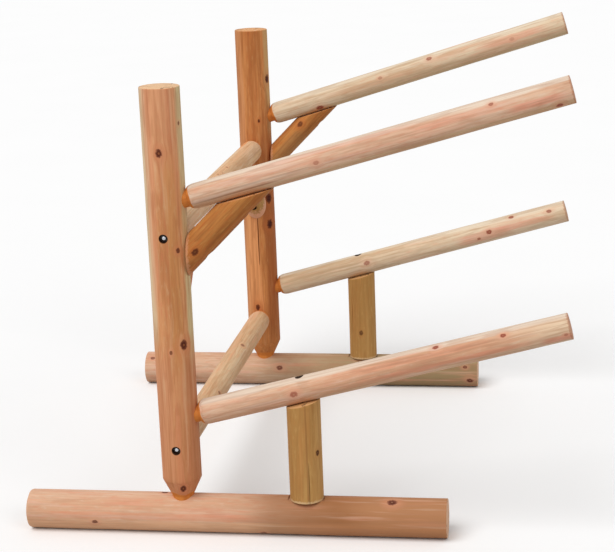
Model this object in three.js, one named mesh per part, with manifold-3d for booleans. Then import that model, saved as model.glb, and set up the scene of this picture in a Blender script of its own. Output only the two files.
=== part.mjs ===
// A freestanding kayak rack of peeled cedar logs. Two posts stand in base logs, two stretchers tie
// the posts together, and each post carries two rising arms, so that one boat lies on the lower
// pair of arms and another on the upper pair.
// Millimetres. +X runs out along the arms, +Y from the front frame to the rear frame, +Z up.
// The origin is the middle of the footprint, on the floor.

import * as THREE from 'three';
import { mergeVertices } from 'three/addons/utils/BufferGeometryUtils.js';
import Module from 'manifold-3d';

// Posts and base logs
const POST_SPACING = 1337;
const POST_HEIGHT = 1284;
const POST_DIAMETER = 112;
const POST_TENON_DIAMETER = 64;
const POST_TENON_DEPTH = 74;
const POST_TAPER_HEIGHT = 52;
const BASE_DIAMETER = 114;
const BASE_LOG = {
  front: { backReach: 463, armReach: 757 },
  rear: { backReach: 441, armReach: 769 },
};
const BASE_END_EASE = 7;
const FOOT_FLAT_DEPTH = 2;

// Arms: height of the axis where it crosses the post's axis, slope in degrees, and reach along the
// arm from there to the tip. The logs were picked and drilled by hand, so no two are alike.
const UPPER_ARM_HEIGHT = 959;
const LOWER_ARM_HEIGHT = 341;
const REAR_ARM_LIFT = 10;
const UPPER_ARM = {
  front: { slope: 15.3, reach: 1140, rootDiameter: 71, tipDiameter: 77 },
  rear: { slope: 16.35, reach: 1120, rootDiameter: 75, tipDiameter: 78 },
};
const LOWER_ARM = {
  front: { slope: 14.3, reach: 1130, rootDiameter: 75, tipDiameter: 76 },
  rear: { slope: 14.9, reach: 1117, rootDiameter: 75, tipDiameter: 76 },
};
const ARM_SHOULDER_LENGTH = 24;

// Stretchers, hung below the arms' axes so that the tenons miss each other inside the post
const STRETCHER_DIAMETER = 75;
const STRETCHER_SHOULDER_LENGTH = 56;
const UPPER_STRETCHER_DROP = 85;
const LOWER_STRETCHER_DROP = 80;

// Round tenons on the arms and stretchers
const TENON_DIAMETER = 50;
const TENON_DEPTH = 60;
const SHOULDER_CLEARANCE = 2;

// Knee braces, set at 45 degrees, and the upright struts under the lower arms
const BRACE_SLOPE = 45;
const ARM_BRACE_DIAMETER = { front: 85, rear: 74 };
const ARM_BRACE_DROP = { front: 57, rear: 54 };
const STRETCHER_BRACE_DIAMETER = 76;
const STRETCHER_BRACE_DROP = 195;
const STRUT_DIAMETER = 97;
const STRUT_REACH = 359;
const STRUT_SEAT_DEPTH = 6;
const STRUT_SEAT_MARGIN = 4;

// Hex lag screws, each let into a counterbore
const LAG_DIAMETER = 9.5;
const LAG_CORE_DIAMETER = 7.6;
const LAG_POINT_LENGTH = 8;
const LAG_PLAIN_SHARE = 0.4;
const LAG_HEAD_FLATS = 14.3;
const LAG_HEAD_HEIGHT = 6.4;
const STRETCHER_LAG_LENGTH = 110;
const ARM_LAG_LENGTH = 100;
const BRACE_FOOT_LAG_LENGTH = 90;
const BRACE_TOP_LAG_LENGTH = 65;
const POST_LAG_LENGTH = 100;
const STRUT_LAG_LENGTH = 150;
const WASHER_DIAMETER = 22;
const WASHER_HOLE_DIAMETER = 10.7;
const WASHER_THICKNESS = 2;
const COUNTERBORE_DIAMETER = 25;
const COUNTERBORE_DEPTH = 14;

const EDGE_EASE = 3;
const FIT = 0.3;

const LOG_SIDES = 24;
const POLE_SIDES = 20;
const HOLE_SIDES = 12;
const SCREW_SIDES = 8;
const HEX_SIDES = 6;
const SHOULDER_STEPS = 4;

const wasm = await Module();
wasm.setup();

const X = new THREE.Vector3(1, 0, 0);
const Y = new THREE.Vector3(0, 1, 0);
const Z = new THREE.Vector3(0, 0, 1);
const RIGHT_ANGLE = Math.PI / 2;
const FAR = 4000;

const postRadius = POST_DIAMETER / 2;
const baseAxisHeight = BASE_DIAMETER / 2 - FOOT_FLAT_DEPTH;
const baseCrownHeight = BASE_DIAMETER - FOOT_FLAT_DEPTH;
const upperStretcherHeight = UPPER_ARM_HEIGHT - UPPER_STRETCHER_DROP;
const lowerStretcherHeight = LOWER_ARM_HEIGHT - LOWER_STRETCHER_DROP;
const stretcherRadius = STRETCHER_DIAMETER / 2;
const tenonRadius = TENON_DIAMETER / 2;
const braceSlope = THREE.MathUtils.degToRad(BRACE_SLOPE);

// ---- Solids -------------------------------------------------------------------------------

// A closed three.js geometry as a solid that can be joined and cut.
function solidOf(geometry) {
  const bare = geometry.clone();
  bare.deleteAttribute('normal');
  bare.deleteAttribute('uv');
  const merged = mergeVertices(bare);
  const corners = merged.index.array;
  const kept = [];
  for (let i = 0; i < corners.length; i += 3) {
    const [a, b, c] = [corners[i], corners[i + 1], corners[i + 2]];
    if (a !== b && b !== c && c !== a) kept.push(a, b, c);
  }
  return new wasm.Manifold(new wasm.Mesh({
    numProp: 3,
    vertProperties: new Float32Array(merged.getAttribute('position').array),
    triVerts: new Uint32Array(kept),
  }));
}

function geometryOf(solid) {
  const mesh = solid.getMesh();
  const geometry = new THREE.BufferGeometry();
  geometry.setAttribute('position', new THREE.BufferAttribute(new Float32Array(mesh.vertProperties), 3));
  geometry.setIndex(new THREE.BufferAttribute(new Uint32Array(mesh.triVerts), 1));
  geometry.computeVertexNormals();
  return geometry;
}

// A turned piece: points of distance along the axis and radius, revolved about its own Z.
function turned(points, sides, frame) {
  const profile = points.map(([along, radius]) => new THREE.Vector2(radius, along));
  const geometry = new THREE.LatheGeometry(profile, sides).rotateX(RIGHT_ANGLE);
  return solidOf(geometry.applyMatrix4(frame));
}

function rod(radius, from, to, sides, frame) {
  return turned([[from, 0], [from, radius], [to, radius], [to, 0]], sides, frame);
}

// A frame whose Z runs along a piece and whose Y is the given side.
function frameAlong(start, along, side) {
  const across = new THREE.Vector3().crossVectors(side, along).normalize();
  return new THREE.Matrix4().makeBasis(across, side, along).setPosition(start);
}

// All that lies beyond a plane, on the side that its normal points to.
function beyond(point, normal, side) {
  const frame = frameAlong(point, normal, side);
  return solidOf(new THREE.BoxGeometry(FAR, FAR, FAR).translate(0, 0, FAR / 2).applyMatrix4(frame));
}

function cut(solid, cutters) {
  return cutters.reduce((body, cutter) => body.subtract(cutter), solid);
}

// A mesh whose geometry is in the piece's own frame, placed by its position and rotation.
function pieceOf(name, solid, frame, material) {
  const own = geometryOf(solid).applyMatrix4(frame.clone().invert());
  const mesh = new THREE.Mesh(own, material);
  mesh.name = name;
  mesh.applyMatrix4(frame);
  return mesh;
}

// ---- Materials ----------------------------------------------------------------------------

function cedar(color) {
  return new THREE.MeshStandardMaterial({ color, roughness: 0.7, metalness: 0 });
}

const orangeCedar = cedar(0xb9743f);
const tanCedar = cedar(0xc98f62);
const paleCedar = cedar(0xd3ac80);
const pinkCedar = cedar(0xd2a180);
const zincSteel = new THREE.MeshStandardMaterial({ color: 0xb9bcbe, roughness: 0.35, metalness: 0.9 });

// ---- Log profiles -------------------------------------------------------------------------

// The rounded shoulder that a tenon cutter leaves, from the tenon's radius out to the log's.
function shoulder(start, length, fromRadius, toRadius) {
  return Array.from({ length: SHOULDER_STEPS + 1 }, (_, step) => {
    const turn = (RIGHT_ANGLE * step) / SHOULDER_STEPS;
    const along = start + length * (1 - Math.cos(turn));
    return [along, fromRadius + (toRadius - fromRadius) * Math.sin(turn)];
  });
}

// Distance along a sloping axis from the post's axis to the post's face.
function faceDistance(slope) {
  return postRadius / Math.cos(slope);
}

function armLine(height, size) {
  const slope = THREE.MathUtils.degToRad(size.slope);
  const along = new THREE.Vector3(Math.cos(slope), 0, Math.sin(slope));
  const start = new THREE.Vector3(0, 0, height);
  const tenonEnd = faceDistance(slope) - TENON_DEPTH;
  const shoulderStart = faceDistance(slope) + tenonRadius * Math.tan(slope) + SHOULDER_CLEARANCE;
  const bodyStart = shoulderStart + ARM_SHOULDER_LENGTH;
  const taper = (size.tipDiameter - size.rootDiameter) / 2 / (size.reach - bodyStart);
  return { size, slope, along, start, tenonEnd, shoulderStart, bodyStart, taper,
    frame: frameAlong(start, along, Y) };
}

function armSolid(arm) {
  const root = arm.size.rootDiameter / 2;
  const tip = arm.size.tipDiameter / 2;
  return turned([
    [arm.tenonEnd, 0],
    [arm.tenonEnd, tenonRadius - EDGE_EASE],
    [arm.tenonEnd + EDGE_EASE, tenonRadius],
    ...shoulder(arm.shoulderStart, ARM_SHOULDER_LENGTH, tenonRadius, root),
    [arm.size.reach - EDGE_EASE, tip],
    [arm.size.reach, tip - EDGE_EASE],
    [arm.size.reach, 0],
  ], POLE_SIDES, arm.frame);
}

// The line along an arm's underside, where a brace or strut is cut to meet it.
function underside(arm) {
  const slope = arm.slope - Math.atan(arm.taper);
  const down = new THREE.Vector3(Math.sin(arm.slope), 0, -Math.cos(arm.slope));
  const point = arm.start.clone()
    .addScaledVector(arm.along, arm.bodyStart)
    .addScaledVector(down, arm.size.rootDiameter / 2);
  const normal = new THREE.Vector3(-Math.sin(slope), 0, Math.cos(slope));
  return { point, normal, slope };
}

function postSolid(frame) {
  return turned([
    [baseCrownHeight - POST_TENON_DEPTH, 0],
    [baseCrownHeight - POST_TENON_DEPTH, POST_TENON_DIAMETER / 2 - EDGE_EASE],
    [baseCrownHeight - POST_TENON_DEPTH + EDGE_EASE, POST_TENON_DIAMETER / 2],
    [baseCrownHeight, POST_TENON_DIAMETER / 2],
    [baseCrownHeight + POST_TAPER_HEIGHT, postRadius],
    [POST_HEIGHT - EDGE_EASE, postRadius],
    [POST_HEIGHT, postRadius - EDGE_EASE],
    [POST_HEIGHT, 0],
  ], LOG_SIDES, frame);
}

function baseSolid(size, frame) {
  const radius = BASE_DIAMETER / 2;
  return turned([
    [-size.backReach, 0],
    [-size.backReach, radius - BASE_END_EASE],
    [-size.backReach + BASE_END_EASE, radius],
    [size.armReach - BASE_END_EASE, radius],
    [size.armReach, radius - BASE_END_EASE],
    [size.armReach, 0],
  ], LOG_SIDES, frame);
}

function stretcherSolid(frame) {
  const face = postRadius + SHOULDER_CLEARANCE;
  const tenonEnd = postRadius - TENON_DEPTH;
  const nearHalf = [
    [tenonEnd, 0],
    [tenonEnd, tenonRadius - EDGE_EASE],
    [tenonEnd + EDGE_EASE, tenonRadius],
    ...shoulder(face, STRETCHER_SHOULDER_LENGTH, tenonRadius, stretcherRadius),
  ];
  const farHalf = nearHalf.map(([along, radius]) => [POST_SPACING - along, radius]).reverse();
  return turned([...nearHalf, ...farHalf], POLE_SIDES, frame);
}

// The mortise for a tenon of this radius, open at its mouth.
function mortise(radius, from, to, sides, frame) {
  return rod(radius + FIT, from - FIT, to, sides, frame);
}

// ---- Lag screws ---------------------------------------------------------------------------

// A lag screw's frame has its origin on the counterbore's floor and its Z in the driving direction.
function lagSolid(length, headRise, frame) {
  const shank = LAG_DIAMETER / 2;
  const core = LAG_CORE_DIAMETER / 2;
  const plain = length * LAG_PLAIN_SHARE;
  const insideHead = -headRise - LAG_HEAD_HEIGHT / 2;
  const shaft = turned([
    [insideHead, 0],
    [insideHead, shank],
    [plain, shank],
    [plain + shank - core, core],
    [length - LAG_POINT_LENGTH, core],
    [length, 0],
  ], SCREW_SIDES, frame);
  const cornerRadius = LAG_HEAD_FLATS / Math.sqrt(3);
  return shaft.add(rod(cornerRadius, -headRise - LAG_HEAD_HEIGHT, -headRise, HEX_SIDES, frame));
}

function lagHole(length, frame) {
  const counterbore = rod(COUNTERBORE_DIAMETER / 2, -POST_DIAMETER, 0, HOLE_SIDES, frame);
  const shaftHole = rod(LAG_DIAMETER / 2 + FIT, -FIT, length + FIT, SCREW_SIDES, frame);
  return counterbore.add(shaftHole);
}

function washerSolid(frame) {
  const [inner, outer] = [WASHER_HOLE_DIAMETER / 2, WASHER_DIAMETER / 2];
  const [low, high] = [-FIT - WASHER_THICKNESS, -FIT];
  return turned([[low, inner], [low, outer], [high, outer], [high, inner], [low, inner]],
    HOLE_SIDES, frame);
}

// A lag screw with or without a washer, driven from a seat along a direction.
function lag(name, seat, along, side, length, hasWasher = false) {
  const frame = frameAlong(seat, along, side);
  const headRise = hasWasher ? WASHER_THICKNESS + 2 * FIT : FIT;
  const pieces = [pieceOf(`${name}_lag`, lagSolid(length, headRise, frame), frame, zincSteel)];
  if (hasWasher) pieces.push(pieceOf(`${name}_washer`, washerSolid(frame), frame, zincSteel));
  return { pieces, length, frame, hole: lagHole(length, frame) };
}

// The same hole in a log that lies outside the screw's own end frame.
function holeAt(placing, screw) {
  return lagHole(screw.length, placing.clone().multiply(screw.frame));
}

// ---- Knee braces --------------------------------------------------------------------------

// A brace leaves the post's face at a foot height and rises outwards at 45 degrees, mitred upright
// against the post and along the underside of what it carries. Its two lag screws are driven
// square to the two mitres, from its lower surface.
function kneeBrace(name, outward, footHeight, diameter, under, material) {
  const side = new THREE.Vector3().crossVectors(Z, outward);
  const foot = outward.clone().multiplyScalar(postRadius + FIT).setZ(footHeight);
  const along = outward.clone().multiplyScalar(Math.cos(braceSlope)).setZ(Math.sin(braceSlope));
  const frame = frameAlong(foot, along, side);
  const radius = diameter / 2;
  const seatPoint = under.point.clone().addScaledVector(under.normal, -FIT);
  const log = rod(radius, -FAR / 4, FAR / 4, POLE_SIDES, frame);
  const trimmed = cut(log, [
    beyond(foot, outward.clone().negate(), side),
    beyond(seatPoint, under.normal, side),
  ]);

  const footDepth = radius / Math.sin(braceSlope) - COUNTERBORE_DEPTH
    - COUNTERBORE_DIAMETER / 2 / Math.tan(braceSlope);
  const footSeat = foot.clone().addScaledVector(outward, footDepth);
  const footLag = lag(`${name}_foot`, footSeat, outward.clone().negate(), side, BRACE_FOOT_LAG_LENGTH);

  const rise = seatPoint.clone().sub(foot).dot(under.normal) / along.dot(under.normal);
  const mitreCentre = foot.clone().addScaledVector(along, rise);
  const lean = braceSlope - under.slope;
  const topDepth = radius / Math.cos(lean) - COUNTERBORE_DEPTH
    - (COUNTERBORE_DIAMETER / 2) * Math.tan(lean);
  const topSeat = mitreCentre.addScaledVector(under.normal, -topDepth);
  const topLag = lag(`${name}_top`, topSeat, under.normal, side, BRACE_TOP_LAG_LENGTH);

  const solid = cut(trimmed, [footLag.hole, topLag.hole]);
  return {
    pieces: [pieceOf(name, solid, frame, material), ...footLag.pieces, ...topLag.pieces],
    footHole: footLag.hole,
    topHole: topLag.hole,
    topLag,
  };
}

// ---- One end frame: base log, post, two arms, arm brace and strut --------------------------

// Lag screw through the back of the post into the end of an arm's tenon.
function armLag(name, arm) {
  const seat = arm.start.clone().addScaledVector(arm.along, COUNTERBORE_DEPTH - faceDistance(arm.slope));
  return lag(name, seat, arm.along, Y, ARM_LAG_LENGTH, true);
}

function armMortise(arm) {
  return mortise(tenonRadius, arm.tenonEnd, arm.bodyStart, POLE_SIDES, arm.frame);
}

// Upright strut between a flat seat on the base log and the underside of the lower arm.
function armStrut(name, arm) {
  const seatHeight = baseCrownHeight - STRUT_SEAT_DEPTH;
  const foot = new THREE.Vector3(STRUT_REACH, 0, seatHeight + FIT);
  const frame = frameAlong(foot, Z, Y);
  const under = underside(arm);
  const top = under.point.clone().addScaledVector(under.normal, -FIT);
  const radius = STRUT_DIAMETER / 2;
  const log = turned([[0, 0], [0, radius - EDGE_EASE], [EDGE_EASE, radius], [FAR / 4, radius],
    [FAR / 4, 0]], POLE_SIDES, frame);

  const footSeat = new THREE.Vector3(STRUT_REACH, 0, COUNTERBORE_DEPTH);
  const footLag = lag(`${name}_foot`, footSeat, Z, Y, STRUT_LAG_LENGTH);
  const alongArm = STRUT_REACH / Math.cos(arm.slope);
  const armRadius = arm.size.rootDiameter / 2 + (alongArm - arm.bodyStart) * arm.taper;
  const armUp = new THREE.Vector3(-Math.sin(arm.slope), 0, Math.cos(arm.slope));
  const topSeat = arm.start.clone()
    .addScaledVector(arm.along, alongArm)
    .addScaledVector(armUp, armRadius - COUNTERBORE_DEPTH);
  const topLag = lag(`${name}_top`, topSeat, armUp.negate(), Y, ARM_LAG_LENGTH);

  const solid = cut(log, [beyond(top, under.normal, Y), footLag.hole, topLag.hole]);
  return {
    pieces: [pieceOf(name, solid, frame, paleCedar), ...footLag.pieces, ...topLag.pieces],
    footHole: footLag.hole,
    topHole: topLag.hole,
  };
}

function strutSeat() {
  const length = STRUT_DIAMETER + 2 * STRUT_SEAT_MARGIN;
  const box = new THREE.BoxGeometry(length, BASE_DIAMETER, BASE_DIAMETER);
  const bottom = baseCrownHeight - STRUT_SEAT_DEPTH;
  return solidOf(box.translate(STRUT_REACH, 0, bottom + BASE_DIAMETER / 2));
}

function baseLog(name, size, postLag, strut) {
  const frame = frameAlong(new THREE.Vector3(0, 0, baseAxisHeight), X, Y);
  const postFrame = new THREE.Matrix4();
  const tenonEnd = baseCrownHeight - POST_TENON_DEPTH;
  const solid = cut(baseSolid(size, frame), [
    mortise(POST_TENON_DIAMETER / 2, tenonEnd, baseCrownHeight + POST_TAPER_HEIGHT, LOG_SIDES, postFrame),
    beyond(new THREE.Vector3(), Z.clone().negate(), X),
    strutSeat(),
    postLag.hole,
    strut.footHole,
  ]);
  return pieceOf(name, solid, frame, tanCedar);
}

// The stretchers' tenons enter from the inner side, their lag screws from the outer side.
function stretcherLag(name, height, inward) {
  const seat = inward.clone().multiplyScalar(COUNTERBORE_DEPTH - postRadius).setZ(height);
  return lag(name, seat, inward, X, STRETCHER_LAG_LENGTH, true);
}

function stretcherMortise(height, inward) {
  const frame = frameAlong(new THREE.Vector3(0, 0, height), inward, X);
  return mortise(tenonRadius, postRadius - TENON_DEPTH, POST_DIAMETER, POLE_SIDES, frame);
}

function endFrame(end, inward) {
  const lift = end === 'rear' ? REAR_ARM_LIFT : 0;
  const upperArm = armLine(UPPER_ARM_HEIGHT + lift, UPPER_ARM[end]);
  const lowerArm = armLine(LOWER_ARM_HEIGHT + lift, LOWER_ARM[end]);
  const upperLag = armLag(`upper_${end}_arm`, upperArm);
  const lowerLag = armLag(`lower_${end}_arm`, lowerArm);
  const postLag = lag(`${end}_post`, new THREE.Vector3(0, 0, COUNTERBORE_DEPTH), Z, Y, POST_LAG_LENGTH);
  const strut = armStrut(`${end}_arm_strut`, lowerArm);
  const armBrace = kneeBrace(`${end}_arm_brace`, X, upperStretcherHeight + lift - ARM_BRACE_DROP[end],
    ARM_BRACE_DIAMETER[end], underside(upperArm), orangeCedar);
  const stretcherUnderside = {
    point: new THREE.Vector3(0, 0, upperStretcherHeight - stretcherRadius),
    normal: Z,
    slope: 0,
  };
  const stretcherBrace = kneeBrace(`${end}_stretcher_brace`, inward,
    upperStretcherHeight - STRETCHER_BRACE_DROP, STRETCHER_BRACE_DIAMETER, stretcherUnderside,
    tanCedar);
  const upperStretcherLag = stretcherLag(`${end}_upper_stretcher`, upperStretcherHeight, inward);
  const lowerStretcherLag = stretcherLag(`${end}_lower_stretcher`, lowerStretcherHeight, inward);

  const postFrame = new THREE.Matrix4();
  const post = cut(postSolid(postFrame), [
    armMortise(upperArm),
    armMortise(lowerArm),
    stretcherMortise(upperStretcherHeight, inward),
    stretcherMortise(lowerStretcherHeight, inward),
    upperLag.hole,
    lowerLag.hole,
    postLag.hole,
    armBrace.footHole,
    stretcherBrace.footHole,
    upperStretcherLag.hole,
    lowerStretcherLag.hole,
  ]);
  const upper = cut(armSolid(upperArm), [upperLag.hole, armBrace.topHole]);
  const lower = cut(armSolid(lowerArm), [lowerLag.hole, strut.topHole]);

  const group = new THREE.Group();
  group.add(
    baseLog(`${end}_base_log`, BASE_LOG[end], postLag, strut),
    pieceOf(`${end}_post`, post, postFrame, end === 'front' ? tanCedar : orangeCedar),
    pieceOf(`upper_${end}_arm`, upper, upperArm.frame, end === 'front' ? pinkCedar : paleCedar),
    pieceOf(`lower_${end}_arm`, lower, lowerArm.frame, pinkCedar),
    ...upperLag.pieces,
    ...lowerLag.pieces,
    ...postLag.pieces,
    ...strut.pieces,
    ...armBrace.pieces,
    ...stretcherBrace.pieces,
    ...upperStretcherLag.pieces,
    ...lowerStretcherLag.pieces,
  );
  return {
    group,
    upperStretcherScrews: [upperStretcherLag, stretcherBrace.topLag],
    lowerStretcherScrews: [lowerStretcherLag],
  };
}

// ---- The rack -----------------------------------------------------------------------------

const frontEnd = endFrame('front', Y);
const rearEnd = endFrame('rear', Y.clone().negate());
rearEnd.group.position.y = POST_SPACING;
rearEnd.group.updateMatrix();

function stretcher(name, height, frontScrews, rearScrews) {
  const frame = frameAlong(new THREE.Vector3(0, 0, height), Y, X);
  const solid = cut(stretcherSolid(frame), [
    ...frontScrews.map((screw) => screw.hole),
    ...rearScrews.map((screw) => holeAt(rearEnd.group.matrix, screw)),
  ]);
  return pieceOf(name, solid, frame, paleCedar);
}

const rack = new THREE.Group();
rack.add(
  frontEnd.group,
  rearEnd.group,
  stretcher('upper_stretcher', upperStretcherHeight, frontEnd.upperStretcherScrews,
    rearEnd.upperStretcherScrews),
  stretcher('lower_stretcher', lowerStretcherHeight, frontEnd.lowerStretcherScrews,
    rearEnd.lowerStretcherScrews),
);

// The post's axis is where the sizes start; the model's origin is the middle of its footprint.
const extent = new THREE.Box3().setFromObject(rack, true);
rack.position.set(-(extent.min.x + extent.max.x) / 2, -(extent.min.y + extent.max.y) / 2, 0);

export default rack;
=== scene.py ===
from math import cos, pi, radians, sin, tan

import bpy
from mathutils import Matrix, Vector


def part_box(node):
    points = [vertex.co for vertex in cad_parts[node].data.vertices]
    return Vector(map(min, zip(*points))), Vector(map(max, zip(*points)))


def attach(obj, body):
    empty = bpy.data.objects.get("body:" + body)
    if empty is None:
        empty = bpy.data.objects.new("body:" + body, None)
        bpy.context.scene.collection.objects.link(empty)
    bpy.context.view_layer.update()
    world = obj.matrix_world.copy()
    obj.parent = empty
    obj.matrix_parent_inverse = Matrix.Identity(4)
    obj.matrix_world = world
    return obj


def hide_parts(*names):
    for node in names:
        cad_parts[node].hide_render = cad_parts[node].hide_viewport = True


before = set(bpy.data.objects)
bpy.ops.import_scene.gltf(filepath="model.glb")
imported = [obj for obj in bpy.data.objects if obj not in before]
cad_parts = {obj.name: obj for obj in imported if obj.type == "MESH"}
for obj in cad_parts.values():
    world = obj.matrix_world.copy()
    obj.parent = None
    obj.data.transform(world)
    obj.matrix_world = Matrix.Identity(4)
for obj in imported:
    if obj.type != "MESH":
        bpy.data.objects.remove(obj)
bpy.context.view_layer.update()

# Distances are metres. Heights start at the floor, distances along X at the posts' axis.
postLow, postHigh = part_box("front_post")
postX = (postLow[0] + postHigh[0]) / 2
frontY = (postLow[1] + postHigh[1]) / 2
rearY = -frontY
frontFoot = Vector((postX, frontY, 0))
rearFoot = Vector((postX, rearY, 0))
alongX, alongY, alongZ = Vector((1, 0, 0)), Vector((0, 1, 0)), Vector((0, 0, 1))

print("camera")
camera = {
    "fromFrontPost": (1.0936, -4.3250, 1.9028),
    "turn": (75.3164, 2.1163, 8.6734),
    "lens": 97.07,
    "shift": (-0.0038, 0.0008),
}
cameraData = bpy.data.cameras.new("camera")
cameraData.sensor_width = 36
cameraData.lens = camera["lens"]
cameraData.shift_x, cameraData.shift_y = camera["shift"]
cameraObject = bpy.data.objects.new("camera", cameraData)
cameraObject.location = frontFoot + Vector(camera["fromFrontPost"])
cameraObject.rotation_euler = [radians(angle) for angle in camera["turn"]]
bpy.context.collection.objects.link(cameraObject)
bpy.context.scene.camera = cameraObject


class Wire:                                    # a socket that can be used in an expression
    def __init__(self, shader, socket):
        self.shader = shader
        self.socket = socket

    def maths(self, operation, *others):
        return self.shader.node("Math", {"operation": operation}, dict(enumerate((self, *others))))[0]

    def __add__(self, other): return self.maths("ADD", other)
    def __radd__(self, other): return self.maths("ADD", other)
    def __sub__(self, other): return self.maths("SUBTRACT", other)
    def __rsub__(self, other): return self.shader.value("SUBTRACT", other, self)
    def __mul__(self, other): return self.maths("MULTIPLY", other)
    def __rmul__(self, other): return self.maths("MULTIPLY", other)
    def __truediv__(self, other): return self.maths("DIVIDE", other)
    def __rtruediv__(self, other): return self.shader.value("DIVIDE", other, self)
    def larger(self, other): return self.maths("MAXIMUM", other)
    def smaller(self, other): return self.maths("MINIMUM", other)
    def wave(self): return self.maths("SINE") * 0.5 + 0.5

    def between(self, low, high, start=0.0, end=1.0):     # smooth step from low to high
        return self.shader.node("MapRange", {"interpolation_type": "SMOOTHSTEP"},
                                {"Value": self, "From Min": low, "From Max": high,
                                 "To Min": start, "To Max": end})[0]


class Shader:
    def __init__(self, name):
        self.material = bpy.data.materials.new(name)
        self.material.use_nodes = True
        self.tree = self.material.node_tree
        self.tree.nodes.clear()

    def node(self, kind, settings=None, inputs=None):
        made = self.tree.nodes.new("ShaderNode" + kind)
        for key, value in (settings or {}).items():
            setattr(made, key, value)
        for key, value in (inputs or {}).items():
            if isinstance(value, Wire):
                self.tree.links.new(value.socket, made.inputs[key])
            else:
                made.inputs[key].default_value = value
        return Outputs(self, made)

    def value(self, operation, *values):
        return self.node("Math", {"operation": operation}, dict(enumerate(values)))[0]

    def vector(self, operation, *values, out=0):
        return self.node("VectorMath", {"operation": operation}, dict(enumerate(values)))[out]

    def mix(self, factor, low, high, blend="MIX"):
        settings = {"data_type": "RGBA", "blend_type": blend}
        return self.node("Mix", settings, {0: factor, 6: low, 7: high})[2]

    def noise(self, where, scale, detail=2.0, roughness=0.5, out=0):
        return self.node("TexNoise", None, {"Vector": where, "Scale": scale, "Detail": detail,
                                            "Roughness": roughness})[out]


class Outputs:
    def __init__(self, shader, made):
        self.shader = shader
        self.made = made

    def __getitem__(self, key):
        return Wire(self.shader, self.made.outputs[key])


def rgb(red, green, blue):                     # screen values 0 to 255, as linear colour
    def linear(level):
        share = level / 255
        return share / 12.92 if share <= 0.04045 else ((share + 0.055) / 1.055) ** 2.4
    return (linear(red), linear(green), linear(blue), 1)


# Patterns are looked up in the log's own coordinates, Z along it. A stretch is how much slower a
# pattern changes along the grain, a knot is its place along and around the log, its radius and
# its darkness, and a streak of sapwood its angle and half width in degrees; on the arms that sapwood lies along the
# top, partly a painted highlight.
grain = {
    "fibre": {"scale": 380, "stretch": 0.025}, "vein": {"scale": 190, "stretch": 0.020},
    "streak": {"scale": 80, "stretch": 0.045}, "band": {"scale": 17, "stretch": 0.09},
    "patch": {"scale": 26, "stretch": 0.13}, "fleck": {"scale": 150, "stretch": 0.22},
    "ringWidth": 0.0030, "ringWander": 0.012, "toolMarks": 0.0018,
    "bumpDepth": 0.0010, "roughness": (0.56, 0.74),
}


screw = {"counterbore": 0.0125, "outward": 0.07, "headHeight": 0.0064, "washerRise": 0.0026, "rise": 0.0003}


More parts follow.
